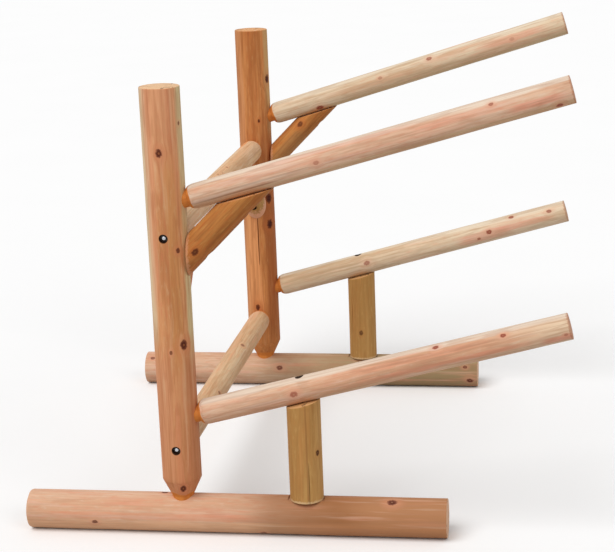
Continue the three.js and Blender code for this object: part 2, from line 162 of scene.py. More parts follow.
def cedarMaterial(name, look):
    shader = Shader(name)
    place = look["place"]
    local = shader.node("Mapping", {"vector_type": "TEXTURE"},
                        {"Vector": shader.node("TexCoord")["Object"], "Location": place.to_translation(),
                         "Rotation": place.to_euler()})[0]

    # knots first, because the grain bends around them
    core = halo = mark = bend = None
    roughEdge = shader.noise(local, 160, 2.0) - 0.5
    for along, angle, size, darkness in look["knots"]:
        turn = radians(angle)
        branch = (cos(turn), sin(turn), 0.0)
        centre = (look["radius"] * cos(turn), look["radius"] * sin(turn), along)
        offset = shader.vector("SUBTRACT", local, centre)
        scaled = shader.vector("MULTIPLY", offset, (1 / size, 1 / size, 0.72 / size))
        across = shader.vector("CROSS_PRODUCT", scaled, branch)
        away = shader.vector("LENGTH", across, out="Value") + roughEdge * 0.8
        outer = shader.vector("DOT_PRODUCT", local, branch, out="Value").between(0.0, 0.01)
        near = away.between(0.6, 3.4, 1.0, 0.0) * outer
        push = shader.node("VectorMath", {"operation": "SCALE"}, {0: offset, "Scale": near * -0.65})[0]
        bend = push if bend is None else shader.vector("ADD", bend, push)
        heart = away.between(0.72, 1.22, darkness, 0.0) * outer
        core = heart if core is None else core.larger(heart)
        halo = near if halo is None else halo.larger(near)
        mark = away if mark is None else mark.smaller(away)
    grainPoint = local if bend is None else shader.vector("ADD", local, bend)

    parts = shader.node("SeparateXYZ", None, {0: grainPoint})
    x, y, z = parts["X"], parts["Y"], parts["Z"]
    seed = look["seed"]

    def pattern(kind, detail):
        where = shader.node("CombineXYZ", None, {0: x + seed, 1: y - seed, 2: z * kind["stretch"] + seed})[0]
        return shader.noise(where, kind["scale"], detail)

    fibre = pattern(grain["fibre"], 2.0)
    vein = pattern(grain["vein"], 2.0)
    streak = pattern(grain["streak"], 3.0)
    band = pattern(grain["band"], 2.0)
    patch = pattern(grain["patch"], 3.0)
    fleck = pattern(grain["fleck"], 3.0)
    radius = shader.vector("LENGTH", shader.node("CombineXYZ", None, {0: x, 1: y, 2: 0.0})[0], out="Value")
    ring = ((radius + patch * grain["ringWander"]) * (2 * pi / grain["ringWidth"])).wave()

    base = shader.mix(band.between(0.34, 0.66), look["dark"], look["light"])
    base = shader.mix(fleck.between(0.50, 0.70, 0.0, 0.42), base, look["warm"])
    base = shader.mix(fleck.between(0.46, 0.28, 0.0, 0.26), base, look["sap"])
    for low, high, tone, share in look["stains"]:
        inside = (z + (band - 0.5) * 0.20).between(low, high)
        base = shader.mix(inside * share, base, tone)
    base = shader.mix((patch * 0.6 + streak * 0.4).between(0.50, 0.66, 0.0, 0.65), base, look["warm"])
    # pale sapwood bands; on the arms they lie along the top and also stand in for the highlight there
    for angle, width in look["sapwood"]:
        turn = radians(angle)
        facing = (x * cos(turn) + y * sin(turn)) / radius + (band - 0.5) * 0.7 + (streak - 0.5) * 0.5
        edge = cos(radians(width))
        base = shader.mix(facing.between(edge - 0.12, edge + 0.12, 0.0, look["sapShare"]), base, look["sap"])
    # coloured streaks that this log has, each a stretch of the log and an angle and half width
    for low, high, angle, width, tone, share in look["streaks"]:
        soft = min(0.07, (high - low) / 5)
        stretch = z + (band - 0.5) * soft * 2.0
        inside = stretch.between(low - soft, low + soft) * stretch.between(high - soft, high + soft, 1.0, 0.0)
        if width < 180:
            edge = cos(radians(width))
            facing = (x * cos(radians(angle)) + y * sin(radians(angle))) / radius
            facing = facing + ((band - 0.5) * 1.6 + (streak - 0.5) * 1.2) * (1 - edge)
            inside = inside * facing.between(edge - (1 - edge) * 0.5, edge + (1 - edge) * 0.5)
        base = shader.mix(inside * share, base, tone)

    contrast = look["contrast"]
    base = shader.mix(streak.between(0.55, 0.72, 0.0, 0.45 * contrast), base, look["sap"])
    base = shader.mix(ring.between(0.62, 1.0, 0.0, look["ringShare"] * contrast), base, look["line"])
    base = shader.mix(streak.between(0.46, 0.30, 0.0, 0.50 * contrast), base, look["line"])
    base = shader.mix(vein.between(0.50, 0.34, 0.0, 0.36 * contrast), base, look["line"])
    base = shader.mix(fibre.between(0.50, 0.78, 0.0, 0.30 * contrast), base, look["line"])

    if core is not None:
        base = shader.mix(halo * 0.42, base, look["warm"])
        knotTone = shader.mix((mark * 8.0 + 2.2).wave() * 0.16, look["knot"], look["warm"])
        knotTone = shader.mix(mark.between(0.20, 0.46, look["pith"], 0.0), knotTone, look["line"])
        base = shader.mix(core, base, knotTone)

    # tenons and shoulders, cut by machine down to the orange heartwood
    turned = None
    for low, high in look["turned"]:
        wander = z + (patch - 0.5) * look["turnedWander"]
        zone = wander.between(low, low + 0.002) * wander.between(high - 0.002, high, 1.0, 0.0)
        turned = zone if turned is None else turned.larger(zone)
    if turned is not None:
        cutTone = shader.mix((z * (2 * pi / grain["toolMarks"])).wave() * 0.3, look["cut"], look["cutLine"])
        base = shader.mix(turned, base, shader.mix(streak.between(0.4, 0.7, 0.0, 0.5), cutTone, look["cutLine"]))

    # sawn ends: growth rings round the pith and a few fine radial checks
    flat = shader.node("SeparateXYZ", None, {0: local})
    sawn = shader.node("Attribute", {"attribute_name": "sawn"})["Fac"]
    pith = shader.vector("LENGTH", shader.node("CombineXYZ", None, {
        0: flat["X"] - look["radius"] * 0.12, 1: flat["Y"] + look["radius"] * 0.08, 2: 0.0})[0], out="Value")
    endRing = ((pith + patch * 0.003) * (2 * pi / 0.0036)).wave()
    around = shader.value("ARCTAN2", flat["Y"], flat["X"])
    check = (around * 3.0 + patch * 9.0).wave().between(0.985, 1.0) * pith.between(0.2 * look["radius"],
                                                                              0.5 * look["radius"])
    sawnTone = shader.mix(endRing.between(0.35, 1.0, 0.0, 0.5), look["sawn"], look["sawnLine"])
    sawnTone = shader.mix(check * 0.7, sawnTone, look["knot"])
    base = shader.mix(sawn, base, sawnTone)

    # rims of another tone beside the saw cuts, and painted shade on the walls and floors of the bored holes
    for point, normal, width, tone, share in look["rims"]:
        rise = shader.vector("DOT_PRODUCT", shader.vector("SUBTRACT", local, point), normal, out="Value")
        base = shader.mix((rise + roughEdge * width * 2.0).between(width * 0.4, width, share, 0.0), base, tone)
    for head, inward in look["bores"]:
        offset = shader.vector("SUBTRACT", local, head)
        away = shader.vector("LENGTH", shader.vector("CROSS_PRODUCT", offset, inward), out="Value")
        deep = shader.vector("DOT_PRODUCT", offset, inward, out="Value")
        # painted shade: the counterbore's wall and floor turn dark brown, darker deeper in the hole
        holeShade = away.between(screw["counterbore"] + 0.0001, screw["counterbore"] + 0.0006, 1.0, 0.0)
        holeShade = holeShade * deep.between(-0.009, -0.002, 0.45, 0.94) * deep.between(0.020, 0.025, 1.0, 0.0)
        base = shader.mix(holeShade, base, look["boreWall"])

    height = fibre * 0.35 + vein * 0.35 + streak * 0.55 + ring * 0.12 + patch * 0.7
    if core is not None:
        height = height + halo * 0.9 - core * 0.5
    normal = shader.node("Bump", None, {"Strength": 0.55, "Distance": grain["bumpDepth"],
                                        "Height": height - check * sawn})[0]
    low, high = grain["roughness"]
    surface = shader.node("BsdfPrincipled", None, {
        "Base Color": base, "Roughness": fibre.between(0.2, 0.8, low, high),
        "Specular IOR Level": 0.14, "Normal": normal})[0]
    shader.node("OutputMaterial", None, {0: surface})
    return shader.material


def deselectAll():
    if bpy.context.object and bpy.context.object.mode != "OBJECT":
        bpy.ops.object.mode_set(mode="OBJECT")
    bpy.ops.object.select_all(action="DESELECT")


def makeActive(thing):
    deselectAll()
    thing.select_set(True)
    bpy.context.view_layer.objects.active = thing


def placing(start, along, side):               # Z along the piece, Y to the given side
    across = side.cross(along).normalized()
    turn = Matrix((across, side, along)).transposed().to_4x4()
    return Matrix.Translation(start) @ turn


def growLog(name, place, rings, sides, step):
    deselectAll()
    along = place.to_3x3() @ alongZ
    start = place.to_translation()
    first, firstRadius = rings[0]
    bpy.ops.mesh.primitive_circle_add(vertices=sides, radius=firstRadius, fill_type="NGON",
                                      location=start + along * first, rotation=place.to_euler())
    log = bpy.context.object
    log.name = name
    bpy.ops.object.transform_apply(location=True, rotation=True, scale=True)
    bpy.ops.object.mode_set(mode="EDIT")
    bpy.ops.mesh.select_all(action="SELECT")
    for (low, lowRadius), (high, highRadius) in zip(rings, rings[1:]):
        bpy.ops.mesh.extrude_region_move(TRANSFORM_OT_translate={"value": along * (high - low)})
        growth = highRadius / lowRadius
        bpy.ops.transform.resize(value=(growth, growth, growth), center_override=start + along * high)
    subdivideAlong(log, along, step)
    bpy.ops.mesh.select_all(action="SELECT")
    bpy.ops.mesh.normals_make_consistent(inside=False)
    bpy.ops.object.mode_set(mode="OBJECT")
    return log


def subdivideAlong(log, along, step):          # rings at every step on the long stretches
    bpy.ops.mesh.select_all(action="DESELECT")
    bpy.ops.mesh.select_mode(type="EDGE")
    bpy.ops.object.mode_set(mode="OBJECT")
    mesh = log.data
    longest = 0
    for edge in mesh.edges:
        low, high = (mesh.vertices[i].co for i in edge.vertices)
        length = (high - low).length
        edge.select = length > 3 * step and abs((high - low).dot(along)) > 0.9 * length
        if edge.select:
            longest = max(longest, length)
    bpy.ops.object.mode_set(mode="EDIT")
    if longest:
        bpy.ops.mesh.subdivide(number_cuts=round(longest / step))


def peel(log, place, depth, size, stretch, seed):       # hand-peeled undulation, inwards only
    texture = bpy.data.textures.new(log.name + "_peel", "CLOUDS")
    texture.noise_scale = size
    texture.noise_depth = 1
    guide = bpy.data.objects.new(log.name + "_guide", None)
    bpy.context.collection.objects.link(guide)
    guide.matrix_world = place @ Matrix.Translation((seed, seed, seed)) @ Matrix.Diagonal((1, 1, stretch, 1))
    bpy.context.view_layer.update()
    makeActive(log)
    wobble = log.modifiers.new("peel", "DISPLACE")
    wobble.texture = texture
    wobble.texture_coords = "OBJECT"
    wobble.texture_coords_object = guide
    wobble.strength = depth
    wobble.mid_level = 1.0
    bpy.ops.object.modifier_apply(modifier=wobble.name)
    bpy.data.objects.remove(guide)


def saw(log, point, normal, ease=0.0025):      # plane cut with a filled, slightly eased end
    makeActive(log)
    bpy.ops.object.mode_set(mode="EDIT")
    bpy.ops.mesh.select_mode(type="FACE")
    bpy.ops.mesh.select_all(action="SELECT")
    bpy.ops.mesh.bisect(plane_co=point, plane_no=normal, use_fill=True, clear_outer=True)
    bpy.ops.object.mode_set(mode="OBJECT")
    markSawn(log)
    bpy.ops.object.mode_set(mode="EDIT")
    if ease:
        bpy.ops.mesh.bevel(offset=ease, segments=2, affect="EDGES", clamp_overlap=True)
    bpy.ops.object.mode_set(mode="OBJECT")


def markSawn(log):
    mesh = log.data
    attribute = mesh.attributes.get("sawn") or mesh.attributes.new("sawn", "FLOAT", "FACE")
    for polygon in mesh.polygons:
        if polygon.select:
            attribute.data[polygon.index].value = 1.0


def cutAway(log, cutter):
    makeActive(log)
    hollow = log.modifiers.new("cut", "BOOLEAN")
    hollow.operation = "DIFFERENCE"
    hollow.solver = "EXACT"
    hollow.object = cutter
    bpy.ops.object.modifier_apply(modifier=hollow.name)
    bpy.data.objects.remove(cutter)


def splitAlong(log, place, radius, checks):    # drying checks, as thin lens-shaped cuts
    for along, angle, halfLength, halfWidth, depth in checks:
        turn = radians(angle)
        spot = place @ Matrix.Rotation(turn, 4, "Z") @ Vector((radius, 0, along))
        deselectAll()
        bpy.ops.mesh.primitive_uv_sphere_add(segments=20, ring_count=18, radius=1, location=spot,
                                             rotation=(place @ Matrix.Rotation(turn, 4, "Z")).to_euler(),
                                             scale=(depth, halfWidth, halfLength))
        cutAway(log, bpy.context.object)


def finishLog(log, material, node, slot):
    makeActive(log)
    log.data.materials.clear()
    log.data.materials.append(material)
    bpy.ops.object.shade_smooth_by_angle(angle=radians(35))
    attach(log, "root")
    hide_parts(node)


def screwLine(node):                           # centre of the head's outer face, and the point
    corners = [vertex.co.copy() for vertex in bpy.data.objects[node].data.vertices]
    middle = sum(corners, Vector()) / len(corners)
    tip = max(corners, key=lambda corner: (corner - middle).length)
    reach = max((corner - tip).length for corner in corners)
    headCorners = [corner for corner in corners if (corner - tip).length > reach - 0.0005]
    return sum(headCorners, Vector()) / len(headCorners), tip


def counterbore(log, node):
    head, tip = screwLine(node)
    inward = (tip - head).normalized()
    rise = screw["washerRise"] if node[:-4] + "_washer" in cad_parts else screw["rise"]
    floor = head + inward * (screw["headHeight"] + rise)
    deselectAll()
    bpy.ops.mesh.primitive_cylinder_add(vertices=40, radius=screw["counterbore"], depth=screw["outward"],
                                        location=floor - inward * screw["outward"] / 2,
                                        rotation=inward.to_track_quat("Z", "Y").to_euler())
    cutAway(log, bpy.context.object)
    return head, inward


shoulderSteps = 6


def shoulderRings(start, length, fromRadius, toRadius):
    turns = [pi / 2 * step / shoulderSteps for step in range(shoulderSteps + 1)]
    return [(start + length * (1 - cos(turn)), fromRadius + (toRadius - fromRadius) * sin(turn))
            for turn in turns]


orangeCut = {"cut": rgb(216, 134, 62), "cutLine": rgb(180, 98, 42)}
tones = {
    "post": {"dark": rgb(198, 132, 84), "light": rgb(222, 158, 108), "warm": rgb(214, 130, 92),
             "sap": rgb(232, 198, 156), "line": rgb(168, 100, 58), "knot": rgb(66, 18, 10),
             "sawn": rgb(236, 196, 154), "sawnLine": rgb(212, 158, 114)},
    "rear post": {"dark": rgb(190, 118, 64), "light": rgb(218, 146, 86), "warm": rgb(194, 108, 58),
                  "sap": rgb(226, 170, 116), "line": rgb(148, 84, 44), "knot": rgb(58, 16, 10),
                  "sawn": rgb(226, 170, 118), "sawnLine": rgb(192, 124, 74)},
    "pale": {"dark": rgb(216, 186, 150), "light": rgb(232, 210, 180), "warm": rgb(222, 170, 138),
             "sap": rgb(230, 214, 190), "line": rgb(182, 144, 108), "knot": rgb(138, 46, 30),
             "sawn": rgb(230, 196, 160), "sawnLine": rgb(204, 160, 120)},
    "pink": {"dark": rgb(214, 166, 132), "light": rgb(228, 190, 160), "warm": rgb(220, 148, 118),
             "sap": rgb(230, 212, 192), "line": rgb(176, 126, 96), "knot": rgb(134, 46, 30),
             "sawn": rgb(230, 188, 154), "sawnLine": rgb(206, 150, 114)},
    "cream": {"dark": rgb(218, 176, 134), "light": rgb(232, 200, 160), "warm": rgb(226, 160, 118),
              "sap": rgb(232, 208, 176), "line": rgb(182, 130, 88), "knot": rgb(98, 40, 28),
              "sawn": rgb(230, 188, 154), "sawnLine": rgb(206, 150, 114)},
    "brace": {"dark": rgb(176, 112, 56), "light": rgb(202, 134, 70), "warm": rgb(188, 98, 46),
              "sap": rgb(208, 158, 94), "line": rgb(132, 78, 38), "knot": rgb(66, 26, 16),
              "sawn": rgb(212, 152, 98), "sawnLine": rgb(180, 114, 66)},
    # the strut tone is darkened as painted shade: the struts and the rear stretcher brace take it where they stand
    # in shadow
    "strut": {"dark": rgb(180, 134, 76), "light": rgb(192, 146, 86), "warm": rgb(188, 130, 72),
              "sap": rgb(212, 170, 108), "line": rgb(152, 104, 56), "knot": rgb(58, 24, 14),
              "sawn": rgb(212, 166, 112), "sawnLine": rgb(182, 128, 76)},
}


def lookOf(place, radius, settings, turned=(), turnedWander=0.0, bores=(), rims=()):
    look = {"sapwood": [], "stains": [], "streaks": [], "ringShare": 0.3, "sapShare": 0.9, "contrast": 1.0,
            # the dark brown painted inside the counterbores is a painted shade for the holes
            "pith": 0.5, "boreWall": rgb(52, 30, 20)}
    look.update(tones[settings["tone"]])
    look.update(orangeCut)
    look.update(settings)
    look.update({"place": place, "radius": radius, "turned": turned, "turnedWander": turnedWander})
    toLocal = place.inverted()
    look["bores"] = [(toLocal @ head, toLocal.to_3x3() @ inward) for head, inward in bores]
    look["rims"] = [(toLocal @ point, toLocal.to_3x3() @ normal, *rest) for point, normal, *rest in rims]
    return look


print("posts")
post = {"radius": 0.0565, "tenon": 0.032, "tenonEnd": 0.038, "crown": 0.112, "taper": 0.052,
        "top": 1.284, "sides": 64, "step": 0.012}
posts = {
    "front": {"foot": frontFoot, "tone": "post", "seed": 1.7, "contrast": 0.7,
              "checks": [(0.700, 150, 0.160, 0.0010, 0.012)],
              "stains": [(0.85, 1.30, rgb(232, 168, 126), 0.7)],
              "streaks": [(0.60, 1.40, -158, 30, rgb(228, 204, 166), 0.85),
                          (0.56, 1.40, 8, 34, rgb(216, 200, 152), 0.85),
                          (0.52, 1.10, -62, 16, rgb(206, 146, 80), 0.35),
                          (0.70, 1.40, -122, 14, rgb(228, 156, 118), 0.5),
                          (0.00, 0.56, -140, 44, rgb(214, 148, 110), 0.7),
                          # the next streak darkens the lower right of the post: painted shadow
                          (0.10, 0.56, -10, 34, rgb(180, 110, 76), 0.6),
                          (-0.10, 0.50, -80, 60, rgb(202, 140, 98), 0.4)],
              "knots": [
        (1.110, -88, 0.0088, 1.0), (0.838, -49, 0.0056, 0.9), (0.569, -48, 0.0105, 1.0),
        (0.550, -87, 0.0044, 0.8), (0.144, -75, 0.0080, 1.0), (1.185, -20, 0.0040, 0.8),
        (0.860, 80, 0.009, 0.9), (0.420, 130, 0.008, 0.9)]},
    "rear": {"foot": rearFoot, "tone": "rear post", "seed": 5.1, "contrast": 0.7, "pith": 0.0,
             "streaks": [(0.90, 1.40, -4, 26, rgb(210, 172, 116), 0.8),
                         # the next streak lightens the left side of the post: painted light
                         (0.20, 1.40, -152, 32, rgb(212, 146, 98), 0.7),
                         (0.30, 0.84, -112, 30, rgb(232, 160, 104), 0.8),
                         (0.20, 0.90, -20, 40, rgb(150, 76, 40), 0.5)],
             "checks": [(0.555, -86, 0.100, 0.0017, 0.015)], "knots": [
        (1.114, -19, 0.0110, 1.0), (0.972, -65, 0.0044, 0.9), (0.695, -38, 0.0130, 1.0),
        (0.602, -38, 0.0120, 1.0), (0.300, -100, 0.008, 0.9), (0.900, 110, 0.010, 0.9)]},
}
for end, settings in posts.items():
    place = placing(settings["foot"], alongZ, alongY)
    log = growLog(end + "_post_log", place, [
        (post["tenonEnd"], post["tenon"]), (post["crown"], post["tenon"]),
        (post["crown"] + post["taper"], post["radius"]), (post["top"] + 0.02, post["radius"])],
        post["sides"], post["step"])
    peel(log, place, 0.0016, 0.035, 8, settings["seed"])
    saw(log, place @ Vector((0, 0, post["top"])), alongZ)
    bores = [counterbore(log, joint.format(end)) for joint in (
        "upper_{}_arm_lag", "lower_{}_arm_lag", "{}_upper_stretcher_lag", "{}_lower_stretcher_lag")]
    splitAlong(log, place, post["radius"], settings["checks"])
    look = lookOf(place, post["radius"], settings, [(0, post["crown"] + 0.014)], 0.006, bores)
    finishLog(log, cedarMaterial(end + "_post_cedar", look), end + "_post", "post_cedar")

print("base logs")
base = {"radius": 0.0566, "axis": 0.055, "sides": 64, "step": 0.012,
        "seat": (0.359, 0.105, 0.106), "ease": (0.007, 0.010), "planed": 0.0003}
bases = {
    "front": {"foot": frontFoot, "back": 0.463, "reach": 0.757, "trim": (0.006, 0.0003), "tone": "pink", "seed": 2.9,
              "contrast": 0.5, "knot": rgb(74, 24, 14), "stains": [(0.46, 0.96, rgb(160, 106, 66), 0.95)],
              "streaks": [(-0.10, 0.90, -40, 40, rgb(236, 184, 142), 0.7),
                          (0.06, 0.70, -96, 10, rgb(222, 140, 104), 0.45),
                          (0.70, 0.96, 0, 180, rgb(148, 98, 58), 0.45),
                          (0.98, 1.30, 0, 180, rgb(184, 132, 92), 0.6),
                          (0.80, 1.30, -50, 36, rgb(190, 132, 90), 0.7)],
              "knots": [
                  (0.211, -74, 0.0060, 0.9), (1.066, -159, 0.0100, 1.0), (0.408, 174, 0.0070, 1.0),
                  (0.700, -40, 0.006, 0.8), (0.300, 90, 0.009, 0.9), (0.950, 120, 0.008, 0.9)]},
    "rear": {"foot": rearFoot, "back": 0.441, "reach": 0.769, "trim": (0.0003, 0.0003), "tone": "pink", "seed": 7.3,
             # the darker, greener stretch and the dark streak at the reach end of this log are painted shadow
             "contrast": 0.6, "knot": rgb(84, 30, 18), "stains": [(0.20, 0.90, rgb(158, 136, 98), 0.95)],
             "streaks": [(0.95, 1.30, -120, 14, rgb(138, 108, 74), 0.5)],
             "knots": [
                 (1.184, -67, 0.0085, 1.0), (1.167, -120, 0.0055, 0.95), (0.028, -142, 0.0060, 0.8),
                 (0.500, -110, 0.008, 0.9), (0.760, 100, 0.009, 0.9)]},
}
for end, settings in bases.items():
    start = settings["foot"] + Vector((-settings["back"], 0, base["axis"]))
    length = settings["back"] + settings["reach"]
    place = placing(start, alongX, alongY)
    log = growLog(end + "_base", place, [(-0.01, base["radius"]), (length + 0.01, base["radius"])],
                  base["sides"], base["step"])
    peel(log, place, 0.0016, 0.035, 8, settings["seed"])
    backTrim, reachTrim = settings["trim"]
    saw(log, start + alongX * backTrim, -alongX, base["ease"][0])
    saw(log, start + alongX * (length - reachTrim), alongX, base["ease"][1])
    saw(log, settings["foot"] + alongZ * base["planed"], -alongZ, 0)
    seatX, seatLength, seatHeight = base["seat"]
    deselectAll()
    bpy.ops.mesh.primitive_cube_add(size=1, location=settings["foot"] + Vector((seatX, 0, seatHeight + 0.05)),
                                    scale=(seatLength, 0.2, 0.1))
    cutAway(log, bpy.context.object)
    bores = [counterbore(log, joint.format(end)) for joint in ("{}_post_lag", "{}_arm_strut_foot_lag")]
    look = lookOf(place, base["radius"], settings, bores=bores)
    finishLog(log, cedarMaterial(end + "_base_cedar", look), end + "_base_log", "base_cedar")

print("arms")
arm = {"tenon": 0.025, "tenonDepth": 0.060, "clearance": 0.002, "shoulder": 0.024, "ease": 0.0035,
       "sides": 56, "step": 0.011}
# each arm's sapwood lies along its top: pale wood that is partly a painted highlight
arms = {
    "upper_front_arm": {"foot": frontFoot, "height": 0.959, "slope": 15.3, "reach": 1.1395,
                        "root": 0.0355, "tip": 0.0382, "tone": "pink", "seed": 3.3, "contrast": 0.8,
                        "sapwood": [(170, 50)],
                        "streaks": [(0.09, 0.34, -62, 4, rgb(140, 92, 62), 0.7),
                                    (0.16, 0.46, -84, 3, rgb(150, 98, 66), 0.5),
                                    (0.72, 0.98, -112, 16, rgb(226, 144, 118), 0.34),
                                    (0.98, 1.12, -84, 14, rgb(230, 132, 108), 0.45),
                                    (0.30, 0.72, -140, 12, rgb(226, 150, 122), 0.4),
                                    (-0.1, 1.20, -28, 26, rgb(196, 164, 118), 0.5)],
                        "knots": [
                            (0.441, -93, 0.0060, 0.5), (0.928, -131, 0.0050, 0.7), (1.098, -42, 0.0065, 0.9),
                            (0.700, 60, 0.008, 0.8)]},
    "upper_rear_arm": {"foot": rearFoot, "height": 0.969, "slope": 16.35, "reach": 1.1195,
                       "root": 0.0375, "tip": 0.0388, "tone": "pale", "seed": 6.1, "contrast": 0.85,
                       "sapwood": [(172, 52)],
                       "streaks": [(0.84, 1.05, -104, 16, rgb(230, 150, 122), 0.5),
                                   (0.28, 0.60, -96, 14, rgb(214, 158, 122), 0.4),
                                   (0.70, 0.92, 178, 14, rgb(232, 150, 116), 0.4),
                                   (-0.1, 1.20, -24, 26, rgb(190, 164, 118), 0.5)],
                       "knots": [
                           (0.239, -47, 0.0095, 0.95), (0.471, -109, 0.0050, 0.5), (0.650, -131, 0.0070, 0.8),
                           (0.937, -98, 0.0060, 0.3), (0.850, 90, 0.008, 0.8)]},
    "lower_front_arm": {"foot": frontFoot, "height": 0.341, "slope": 14.3, "reach": 1.1295,
                        "root": 0.0373, "tip": 0.0378, "tone": "pink", "seed": 8.7, "sapwood": [(170, 46)],
                        "contrast": 0.85, "ease": 0.006,
                        "stains": [(0.85, 1.15, rgb(230, 208, 176), 0.8)],
                        "streaks": [(0.55, 0.98, -74, 12, rgb(228, 142, 114), 0.45),
                                    (0.50, 0.86, -120, 16, rgb(230, 152, 122), 0.4),
                                    (1.05, 1.15, -60, 16, rgb(222, 110, 88), 0.5),
                                    (0.40, 0.90, -36, 16, rgb(226, 196, 160), 0.5)],
                        "knots": [
                            (0.951, -132, 0.0058, 0.9), (0.764, -153, 0.0065, 0.9), (1.115, -73, 0.0040, 0.5),
                            (0.350, -90, 0.008, 0.7), (0.600, 100, 0.008, 0.8)]},
    "lower_rear_arm": {"foot": rearFoot, "height": 0.351, "slope": 14.9, "reach": 1.1165,
                       "root": 0.0373, "tip": 0.0378, "tone": "pale", "seed": 9.4, "contrast": 0.85,
                       "sapwood": [(168, 44)],
                       "streaks": [(0.74, 0.92, -80, 26, rgb(230, 150, 126), 0.5),
                                   (0.88, 1.06, -92, 14, rgb(226, 140, 114), 0.45)],
                       "knots": [
                           (0.844, -96, 0.0070, 0.95), (0.930, -148, 0.0065, 0.9), (1.062, -124, 0.0062, 0.8),
                           (0.804, -73, 0.0045, 0.8), (0.400, -100, 0.008, 0.7)]},
}
postFace = 0.056
armSides = {}
for name, settings in arms.items():
    slope = radians(settings["slope"])
    along = Vector((cos(slope), 0, sin(slope)))
    up = Vector((-sin(slope), 0, cos(slope)))
    start = settings["foot"] + alongZ * settings["height"]
    place = placing(start, along, alongY)
    face = postFace / cos(slope)
    shoulderStart = face + arm["tenon"] * tan(slope) + arm["clearance"]
    bodyStart = shoulderStart + arm["shoulder"]
    armSides[name] = {"along": along, "up": up, "start": start, "bodyStart": bodyStart,
                      "taper": (settings["tip"] - settings["root"]) / (settings["reach"] - bodyStart),
                      "root": settings["root"]}
    log = growLog(name + "_log", place, [
        (face - arm["tenonDepth"], arm["tenon"]),
        *shoulderRings(shoulderStart, arm["shoulder"], arm["tenon"], settings["root"]),
        (settings["reach"] + 0.01, settings["tip"])], arm["sides"], arm["step"])
    peel(log, place, 0.0013, 0.028, 8, settings["seed"])
    end = start + along * settings["reach"]
    saw(log, end, along, settings.get("ease", arm["ease"]))
    bores = []
    if name.startswith("lower"):
        bores = [counterbore(log, name.replace("lower_", "") + "_strut_top_lag")]
    look = lookOf(place, settings["root"], settings, [(-0.1, shoulderStart + 0.011)], 0.012, bores,
                  [(end, -along, 0.005, rgb(168, 96, 64), 0.45)])
    finishLog(log, cedarMaterial(name + "_cedar", look), name, name.split("_")[0] + "_arm_cedar")

print("stretchers")
stretcher = {"radius": 0.0375, "tenon": 0.025, "tenonDepth": 0.060, "clearance": 0.002, "shoulder": 0.056,
             "sides": 56, "step": 0.012}
stretchers = {
    "upper_stretcher": {"height": 0.874, "tone": "cream", "seed": 4.2, "contrast": 0.8,
                        # the next streak is the orange of the far shoulder, brighter and only on its top-left: real
                        # heartwood colour, partly painted light
                        "streaks": [(1.13, 1.50, -46, 34, rgb(238, 150, 84), 0.95),
                                    (1.00, 1.50, 60, 60, rgb(232, 196, 160), 0.6),
                                    (0.30, 1.20, 8, 16, rgb(226, 172, 128), 0.5),
                                    (0.50, 1.25, 96, 24, rgb(222, 176, 122), 0.5)],
                        "knots": [
        (0.658, 9, 0.0035, 0.7), (0.690, 22, 0.0028, 0.7), (0.777, 16, 0.0040, 0.7), (0.400, 120, 0.007, 0.7)]},
    "lower_stretcher": {"height": 0.261, "tone": "cream", "seed": 11.2, "contrast": 0.8, "knots": [
        (0.400, 60, 0.006, 0.7), (0.850, 30, 0.007, 0.7)]},
}
span = rearY - frontY
for name, settings in stretchers.items():
    start = frontFoot + alongZ * settings["height"]
    place = placing(start, alongY, alongX)
    nearHalf = [(postFace - stretcher["tenonDepth"], stretcher["tenon"]),
                *shoulderRings(postFace + stretcher["clearance"], stretcher["shoulder"],
                               stretcher["tenon"], stretcher["radius"])]
    farHalf = [(span - along, radius) for along, radius in reversed(nearHalf)]
    log = growLog(name + "_log", place, nearHalf + farHalf, stretcher["sides"], stretcher["step"])
    peel(log, place, 0.0013, 0.028, 8, settings["seed"])
    look = lookOf(place, stretcher["radius"], settings,
                  [(0, postFace + 0.012), (span - postFace - 0.036, span)], 0.012)
    finishLog(log, cedarMaterial(name + "_cedar", look), name, "stretcher_cedar")

print("knee braces")
brace = {"sides": 56, "step": 0.011, "gap": 0.0004, "footEase": 0.006, "footRim": rgb(226, 168, 134)}
slope45 = radians(45)
braces = {
    "front_arm_brace": {"foot": frontFoot, "outward": alongX, "height": 0.817, "radius": 0.0424,
                        "under": "upper_front_arm", "tone": "brace", "seed": 12.6, "contrast": 0.8,
                        "rimShare": 0.4, "rimWidth": 0.010, "knots": [
                            (0.031, -80, 0.0090, 0.95), (0.20, 90, 0.008, 0.8)]},
    "rear_arm_brace": {"foot": rearFoot, "outward": alongX, "height": 0.830, "radius": 0.0369,
                       "under": "upper_rear_arm", "tone": "brace", "seed": 13.9, "contrast": 0.8,
                       "streaks": [(0.0, 0.16, -60, 40, rgb(168, 128, 84), 0.5)],
                       "rimShare": 0.4, "rimWidth": 0.010, "knots": [
                           (0.167, -111, 0.0085, 0.8), (0.08, 60, 0.007, 0.8)]},
    "front_stretcher_brace": {"foot": frontFoot, "outward": alongY, "height": 0.679, "radius": 0.0379,
                              "under": "upper_stretcher", "tone": "post", "seed": 14.4, "contrast": 0.8,
                              "rimShare": 0.8, "rimWidth": 0.018, "knots": [(0.15, 20, 0.007, 0.8)]},
    # this brace takes the darker strut tone, a painted shade under the arm
    "rear_stretcher_brace": {"foot": rearFoot, "outward": -alongY, "height": 0.679, "radius": 0.0379,
                             "under": "upper_stretcher", "tone": "strut", "seed": 15.2, "contrast": 0.8,
                             "rimShare": 0.95, "rimWidth": 0.034, "knots": [(0.12, 60, 0.007, 0.8)]},
}


def undersideOf(settings):                     # a point and normal on the underside that a brace meets
    if settings["under"] == "upper_stretcher":
        height = stretchers["upper_stretcher"]["height"] - stretcher["radius"]
        return settings["foot"] + alongZ * height, alongZ
    side = armSides[settings["under"]]
    point = side["start"] + side["along"] * side["bodyStart"] - side["up"] * side["root"]
    return point, (side["up"] + side["along"] * side["taper"]).normalized()


